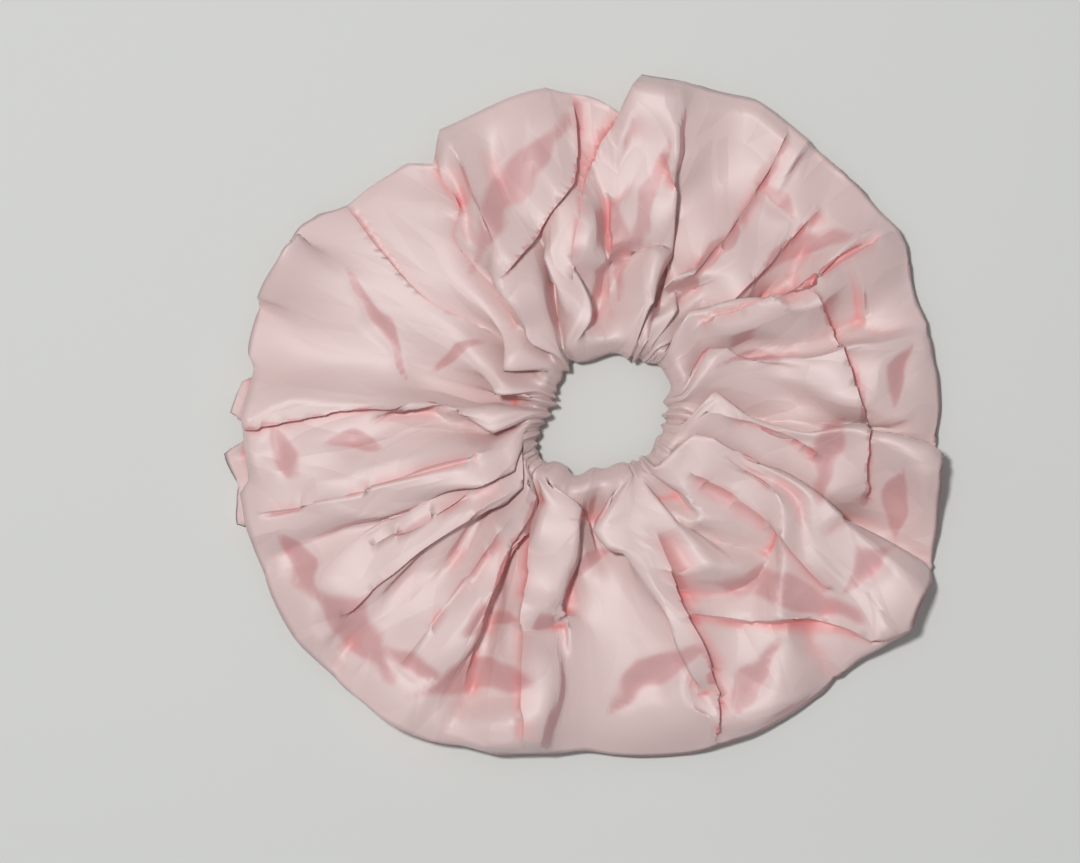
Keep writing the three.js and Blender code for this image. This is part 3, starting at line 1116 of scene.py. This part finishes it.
def knitted_ivory():
    material, tree = new_material("knitted_ivory")
    flat_place = node(tree, "ShaderNodeUVMap", uv_map="UVMap").outputs["UV"]
    ribs, loops = (
        node(
            tree, "ShaderNodeTexWave", wave_type="BANDS", bands_direction=way,
            Scale=scale, Distortion=distortion, Vector=flat_place,
        ).outputs["Fac"]
        for way, scale, distortion in (("Y", 260.0, 0.6), ("DIAGONAL", 420.0, 1.0))
    )
    fuzz = node(tree, "ShaderNodeTexNoise", Scale=2600.0, Detail=3.0, Vector=flat_place).outputs["Fac"]
    knit = times(tree, ribs, loops)
    ribbed = bump(tree, 0.8, 0.0002, Height=knit)
    fuzzy = bump(tree, 0.4, 0.00008, Height=fuzz, Normal=ribbed)
    surface(tree, Roughness=0.85, IOR=1.45, Sheen_Weight=0.3)
    # Painted shade: the ivory is darker where the knit is low, between the ribs.
    surface(tree, Base_Color=mixed(tree, knit, IVORY_SHADED_BETWEEN_RIBS, IVORY), Normal=fuzzy)
    return material


elastic.data.materials.append(knitted_ivory())
print("elastic material", elastic.data.materials[0].name)

# %% [markdown]
# ## Stitches
#
# A stitch repeats, so it is a job for Geometry Nodes. The node group below turns each edge of a bare wire
# mesh into one stitch: a little spindle of thread, as long as the edge. A straight seam is then a row of
# separate edges, and a zigzag is a wire that turns at every point. Thickness, overlap, unevenness and seed
# are inputs, so the same group sews all four seams.

# %% Stitch node group
SPINDLE_SEGMENTS, SPINDLE_RINGS = 8, 6


def stitch_group():
    """Turns each edge of a wire mesh into one spindle of thread."""
    group = bpy.data.node_groups.new("Stitches on edges", "GeometryNodeTree")
    sockets = (
        ("Wire", "INPUT", "Geometry"), ("Thread thickness", "INPUT", "Float"), ("Overlap", "INPUT", "Float"),
        ("Unevenness", "INPUT", "Float"), ("Seed", "INPUT", "Int"), ("Thread", "INPUT", "Material"),
        ("Stitches", "OUTPUT", "Geometry"),
    )
    for name, direction, kind in sockets:
        group.interface.new_socket(name, in_out=direction, socket_type="NodeSocket" + kind)
    given = node(group, "NodeGroupInput").outputs

    ends = node(group, "GeometryNodeInputMeshEdgeVertices").outputs
    first, last = ends["Position 1"], ends["Position 2"]
    run = node(group, "ShaderNodeVectorMath", {0: last, 1: first}, operation="SUBTRACT")
    kept = node(group, "GeometryNodeCaptureAttribute", domain="EDGE")
    kept.capture_items.new("VECTOR", "Run")
    feed(group, given["Wire"], kept.inputs["Geometry"])
    feed(group, run.outputs["Vector"], kept.inputs["Run"])
    run_kept = kept.outputs["Run"]
    middles = node(group, "GeometryNodeMeshToPoints", mode="EDGES", Mesh=kept.outputs["Geometry"])

    length = node(group, "ShaderNodeVectorMath", {0: run_kept}, operation="LENGTH").outputs["Value"]
    thickest = node(group, "ShaderNodeMath", {0: 1.0, 1: given["Unevenness"]}, operation="ADD").outputs["Value"]
    wobble = node(group, "FunctionNodeRandomValue", {2: 1.0, 3: thickest, "Seed": given["Seed"]}).outputs[1]
    radius = times(group, times(group, given["Thread thickness"], wobble), 0.5)
    half_length = times(group, length, given["Overlap"])
    size = node(group, "ShaderNodeCombineXYZ", X=radius, Y=radius, Z=half_length).outputs["Vector"]

    spindle = node(
        group, "GeometryNodeMeshUVSphere", Segments=SPINDLE_SEGMENTS, Rings=SPINDLE_RINGS, Radius=1.0
    ).outputs["Mesh"]
    turn = node(group, "FunctionNodeAlignRotationToVector", axis="Z", Vector=run_kept).outputs["Rotation"]
    placed = node(
        group, "GeometryNodeInstanceOnPoints",
        Points=middles.outputs["Points"], Instance=spindle, Rotation=turn, Scale=size,
    ).outputs["Instances"]
    real = node(group, "GeometryNodeRealizeInstances", Geometry=placed).outputs["Geometry"]
    smooth = node(group, "GeometryNodeSetShadeSmooth", Geometry=real).outputs["Geometry"]
    dressed = node(group, "GeometryNodeSetMaterial", Geometry=smooth, Material=given["Thread"])
    node(group, "NodeGroupOutput", Stitches=dressed.outputs["Geometry"])
    return group


STITCHES = stitch_group()
print("stitch group has", len(STITCHES.nodes), "nodes")

# %% [markdown]
# ## Thread
#
# Polyester sewing thread is a twist of fine fibres with a soft shine. Each seam is a wire mesh with the
# stitch group on it, and the result is turned into a plain mesh.

# %% Thread and sewing
DARK_THREAD = (0.52, 0.24, 0.23, 1)
LIGHT_THREAD = (0.70, 0.42, 0.40, 1)
THREAD_UNEVENNESS = 0.15


def rose_thread():
    material, tree = new_material("rose_thread")
    here = node(tree, "ShaderNodeTexCoord").outputs["Object"]
    twist = node(
        tree, "ShaderNodeTexWave", wave_type="BANDS", bands_direction="DIAGONAL",
        Scale=900.0, Distortion=1.5, Vector=here,
    ).outputs["Fac"]
    fibres = node(tree, "ShaderNodeTexNoise", Scale=3500.0, Detail=2.0, Vector=here).outputs["Fac"]
    twisted = bump(tree, 0.6, 0.00008, Height=twist)
    surface(tree, Roughness=0.55, IOR=1.5, Sheen_Weight=0.2)
    surface(tree, Base_Color=mixed(tree, fibres, DARK_THREAD, LIGHT_THREAD), Normal=twisted)
    return material


THREAD = rose_thread()


def sew(name, points, edges, thickness, overlap, seed):
    """Makes one seam from a wire, and returns it as a plain mesh."""
    mesh = bpy.data.meshes.new(name)
    mesh.from_pydata(np.asarray(points).tolist(), edges, [])
    seam = bpy.data.objects.new(name, mesh)
    bpy.context.scene.collection.objects.link(seam)
    modifier = seam.modifiers.new("Stitches", "NODES")
    modifier.node_group = STITCHES
    values = {
        "Thread thickness": thickness, "Overlap": overlap, "Unevenness": THREAD_UNEVENNESS,
        "Seed": seed, "Thread": THREAD,
    }
    for item in STITCHES.interface.items_tree:
        if item.in_out == "INPUT" and item.name in values:
            modifier[item.identifier] = values[item.name]
    return apply_modifiers(seam)


print("thread", THREAD.name)

# %% [markdown]
# ## The four seams
#
# Two faces of zigzag join the elastic's ends. The closing seam runs once round the tube, and the long seam
# once round the ring, on the side that lies on the table. Both are sewn on the inside of the cloth, so
# their threads sit just within it.

# %% Seams
THREAD_THICKNESS = 0.0003
BESIDE_BAND = ELASTIC_THICKNESS / 2 + 0.00016


def zigzag(name, inward, seed, points=15):
    share = np.linspace(0.08, 0.92, points)
    up = np.where(np.arange(points) % 2, 1, -1) * ELASTIC_WIDTH * 0.34
    wire = beside_elastic(ELASTIC_START + share * ELASTIC_LAP, up, np.full(points, inward))
    return sew(name, wire, [(n, n + 1) for n in range(points - 1)], THREAD_THICKNESS, 0.54, seed)


INSIDE_CLOTH = 0.00045
STITCH_LENGTH, STITCH_SHARE = 0.0024, 0.86
CLOSING_SEAM = math.radians(250)
LONG_SEAM_ROWS = 6  # from the elastic, on the lower side


def seam_along(name, line, seed, closed):
    """Sews along a line of points, in stitches of one length."""
    line = np.concatenate([line, line[:1]]) if closed else line
    walked = np.append(0, np.cumsum(np.linalg.norm(np.diff(line, axis=0), axis=1)))
    stitches = int(walked[-1] / STITCH_LENGTH)
    starts = np.arange(stitches) * walked[-1] / stitches
    stops = np.stack([starts, starts + walked[-1] / stitches * STITCH_SHARE], -1).ravel()
    points = np.stack([np.interp(stops, walked, line[:, axis]) for axis in range(3)], -1)
    return sew(name, points, [(2 * n, 2 * n + 1) for n in range(stitches)], THREAD_THICKNESS, 0.52, seed)


inner_face = sleeve_points - outward * INSIDE_CLOTH
casing_angle, _ = plan(sleeve_points[:, 0] - np.array(OPENING_MIDDLE))
closing_column = int(np.abs(casing_angle - CLOSING_SEAM).argmin())
closing_line = inner_face[closing_column, 3:-8]
long_line = inner_face[:, FINE_ROWS - LONG_SEAM_ROWS]
seams = {
    "elastic_join_stitch_inner": zigzag("zigzag_inner_face", BESIDE_BAND, 1),
    "elastic_join_stitch_outer": zigzag("zigzag_outer_face", -LAP_STEP - BESIDE_BAND, 2),
    "closing_seam_stitching": seam_along("closing_seam_thread", closing_line, 3, closed=False),
    "long_seam_stitching": seam_along("long_seam_thread", long_line, 4, closed=True),
}
print({name: len(seam.data.polygons) for name, seam in seams.items()})

# %% [markdown]
# ## Baking the pieces and hiding the frame's parts
#
# Each piece's placement is baked into its mesh, and the frame's own parts for the sleeve, the elastic, the
# seam allowances and the stitches are hidden.

# %% Baking and hiding
for piece in (sleeve, elastic, *seams.values()):
    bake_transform(piece)
for node_name, seam in seams.items():
    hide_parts(node_name)
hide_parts("elastic_band")
sectors = [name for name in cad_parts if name.startswith("sleeve_sector")]
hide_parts(*sectors, "long_seam_allowance", "closing_seam_allowance")

print("pieces", [piece.name for piece in (sleeve, elastic, *seams.values())])

# %% [markdown]
# ## Floor, light and camera
#
# The floor is a plain pale sheet. One fairly small lamp stands high up and a little to the upper left,
# close to the camera's own line. That lays a broad shine on the satin and leaves thin shadows beside the
# ring, and the room fills them softly. The camera looks straight down.

# %% Floor, light and camera
LAMP_PLACE, LAMP_SIZE, LAMP_POWER = (-0.24, 0.17, 1.35), 0.13, 12.6
CAMERA_PLACE = (-0.0112, -0.0032, 1.3)
VIEW_WIDTH = 0.2916  # metres of floor across the frame
ROOM_COLOUR, ROOM_STRENGTH = (0.9, 0.94, 1.0, 1), 0.32
FLOOR_COLOUR = (0.66, 0.66, 0.63, 1)


def put(name, data, location):
    thing = bpy.data.objects.new(name, data)
    thing.location = location
    bpy.context.scene.collection.objects.link(thing)
    return thing


bpy.ops.mesh.primitive_plane_add(size=4, location=(0, 0, 0))
floor = bpy.context.object
floor.name = "floor"
floor_material, floor_tree = new_material("floor")
surface(floor_tree, Roughness=0.9, IOR=1.3, Base_Color=FLOOR_COLOUR)
floor.data.materials.append(floor_material)

world = bpy.data.worlds.new("room")
bpy.context.scene.world = world
world.use_nodes = True
world.node_tree.nodes["Background"].inputs["Color"].default_value = ROOM_COLOUR
world.node_tree.nodes["Background"].inputs["Strength"].default_value = ROOM_STRENGTH

lamp = put("key", bpy.data.lights.new("key", "AREA"), LAMP_PLACE)
lamp.data.size, lamp.data.energy = LAMP_SIZE, LAMP_POWER
lamp.rotation_euler = (-Vector(LAMP_PLACE)).to_track_quat("-Z", "Y").to_euler()

camera = put("camera", bpy.data.cameras.new("camera"), CAMERA_PLACE)
camera.data.lens = camera.data.sensor_width * CAMERA_PLACE[2] / VIEW_WIDTH
camera.data.clip_start = 0.01
bpy.context.scene.camera = camera
bpy.context.scene.view_settings.view_transform = "Standard"
print(f"camera lens {camera.data.lens:.0f} mm")
